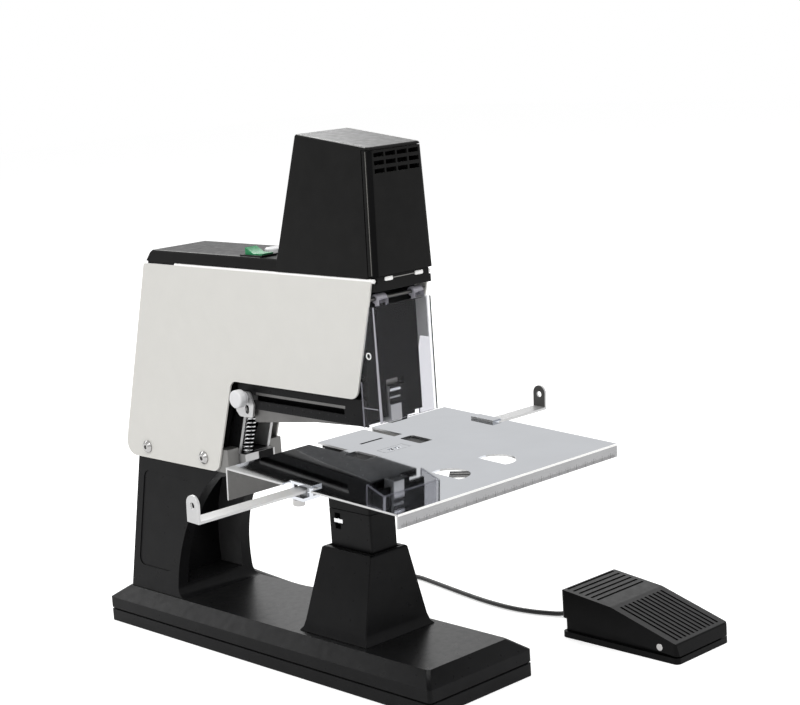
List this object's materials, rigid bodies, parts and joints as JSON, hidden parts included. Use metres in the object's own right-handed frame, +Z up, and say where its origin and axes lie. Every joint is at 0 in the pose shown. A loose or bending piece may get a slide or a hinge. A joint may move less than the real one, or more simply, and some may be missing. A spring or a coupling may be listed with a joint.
{
  "type": "electric_stapler",
  "caption": "Electric saddle stapler: white side panels on a black column, a black solenoid tower, a polished sloping steel table on a pedestal, and a foot pedal on a lead.",
  "frame": {"origin": "on the floor, under the middle of the base", "axes": "+Z up, -Y toward the user, +X to the user's right, where the pedal stands"},
  "size_m": [0.4184, 0.5478, 0.4289],
  "materials": {
    "black_paint": "satin black powder coat, finely textured",
    "black_plastic": "satin moulded black",
    "pedal_black": "smooth moulded black",
    "panel_paint": "warm off-white enamel",
    "mirror_steel": "polished sheet steel",
    "bright_steel": "bright plated",
    "plain_steel": "plain zinc-plated",
    "copper": "wound and taped coil",
    "brass": "plain",
    "white_plastic": "smooth",
    "green_plastic": "clear green",
    "clear_plastic": "clear moulded",
    "rubber": "matt",
    "cord_sheath": "smooth sheath"
  },
  "bodies": {
    "body": {"base_tray": "black_paint", "base_shell": "black_paint", "column": "black_paint", "pedestal": "black_paint", "anvil_post": "black_paint", "anvil_head": "black_paint", "table_bracket": "black_paint", "head_front_plate": "black_paint", "rear_cover": "black_paint", "solenoid_yoke": "black_paint", "head_cover": "black_plastic", "front_cover": "black_plastic", "hinge_strip": "black_plastic", "switch_bezel": "black_plastic", "power_inlet": "black_plastic", "pedal_socket": "black_plastic", "pedal_switch": "black_plastic", "coil_tie": "black_plastic", "pedal_base": "pedal_black", "side_panel_left": "panel_paint", "side_panel_right": "panel_paint", "table": "mirror_steel", "clincher": "mirror_steel", "guide_clamps": "mirror_steel", "panel_screws": "bright_steel", "clamp_screws": "bright_steel", "post_screw": "bright_steel", "guard_rod": "bright_steel", "pedal_pin": "bright_steel", "pivot_shaft": "bright_steel", "frame": "plain_steel", "frame_feet": "plain_steel", "return_spring": "plain_steel", "pedal_spring": "plain_steel", "solenoid_coil": "copper", "base_feet": "rubber", "pedal_gland": "rubber", "pedal_plug": "rubber", "lead_machine": "cord_sheath", "cord_coil": "cord_sheath", "lead_pedal": "cord_sheath"},
    "arm": {"arm_channel": "black_paint", "scale_plate": "black_paint", "gauge_rail": "plain_steel", "arm_nose": "plain_steel", "magazine": "plain_steel", "staple_strip": "plain_steel", "spring_cup": "plain_steel"},
    "gauge": {"gauge_slide": "plain_steel"},
    "knob": {"gauge_knob": "white_plastic"},
    "plunger": {"plunger": "bright_steel"},
    "driver": {"driver_blade": "plain_steel"},
    "pusher": {"staple_pusher": "brass"},
    "guard": {"front_guard": "clear_plastic"},
    "rocker": {"rocker": "green_plastic"},
    "dial": {"dial": "white_plastic"},
    "left_guide": {"guide_left": "mirror_steel"},
    "right_guide": {"guide_right": "mirror_steel"},
    "pedal": {"pedal_lever": "pedal_black"}
  },
  "joints": [
    {"name": "arm_hinge", "type": "hinge", "parent": "body", "child": "arm", "pos_m": [0, 0.14, 0.226], "axis": [1, 0, 0], "range_deg": [0, 4.2], "stiffness_Nm_per_rad": 25, "springref_deg": -8.02, "deforming": ["return_spring"]},
    {"name": "plunger_slide", "type": "slide", "parent": "body", "child": "plunger", "axis": [0, 0, -1], "range_m": [0, 0.0175]},
    {"name": "driver_slide", "type": "slide", "parent": "arm", "child": "driver", "axis": [0, 0, -1], "range_m": [0, 0.0202]},
    {"name": "pusher_slide", "type": "slide", "parent": "arm", "child": "pusher", "axis": [0, 1, 0], "range_m": [0, 0.06], "stiffness_N_per_m": 20, "springref_m": -0.05},
    {"name": "gauge_slide", "type": "slide", "parent": "arm", "child": "gauge", "axis": [0, -1, 0], "range_m": [0, 0.1]},
    {"name": "knob_turn", "type": "hinge", "parent": "gauge", "child": "knob", "pos_m": [-0.034, 0.0213, 0.2156], "axis": [1, 0, 0], "continuous": true},
    {"name": "guard_hinge", "type": "hinge", "parent": "body", "child": "guard", "pos_m": [0, -0.1355, 0.306], "axis": [-1, 0, 0], "range_deg": [0, 88]},
    {"name": "rocker_switch", "type": "hinge", "parent": "body", "child": "rocker", "pos_m": [-0.02, 0.0005, 0.329], "axis": [1, 0, 0], "range_deg": [-24, 0]},
    {"name": "dial_turn", "type": "hinge", "parent": "body", "child": "dial", "pos_m": [-0.0035, 0.001, 0.334], "axis": [0, 0, 1], "range_deg": [-135, 135]},
    {"name": "guide_left_slide", "type": "slide", "parent": "body", "child": "left_guide", "axis": [-1, 0, 0], "range_m": [-0.045, 0.01]},
    {"name": "guide_right_slide", "type": "slide", "parent": "body", "child": "right_guide", "axis": [1, 0, 0], "range_m": [-0.045, 0.01]},
    {"name": "pedal_press", "type": "hinge", "parent": "body", "child": "pedal", "pos_m": [0.1715, -0.2613, 0.0115], "axis": [-1, 0, 0], "range_deg": [0, 5.5], "stiffness_Nm_per_rad": 2, "springref_deg": -11.46, "deforming": ["pedal_spring"]}
  ],
  "couplings": [
    {"joint": "plunger_slide", "follows": "arm_hinge", "m_per_rad": 0.2374},
    {"joint": "driver_slide", "follows": "arm_hinge", "m_per_rad": 0.273}
  ]
}
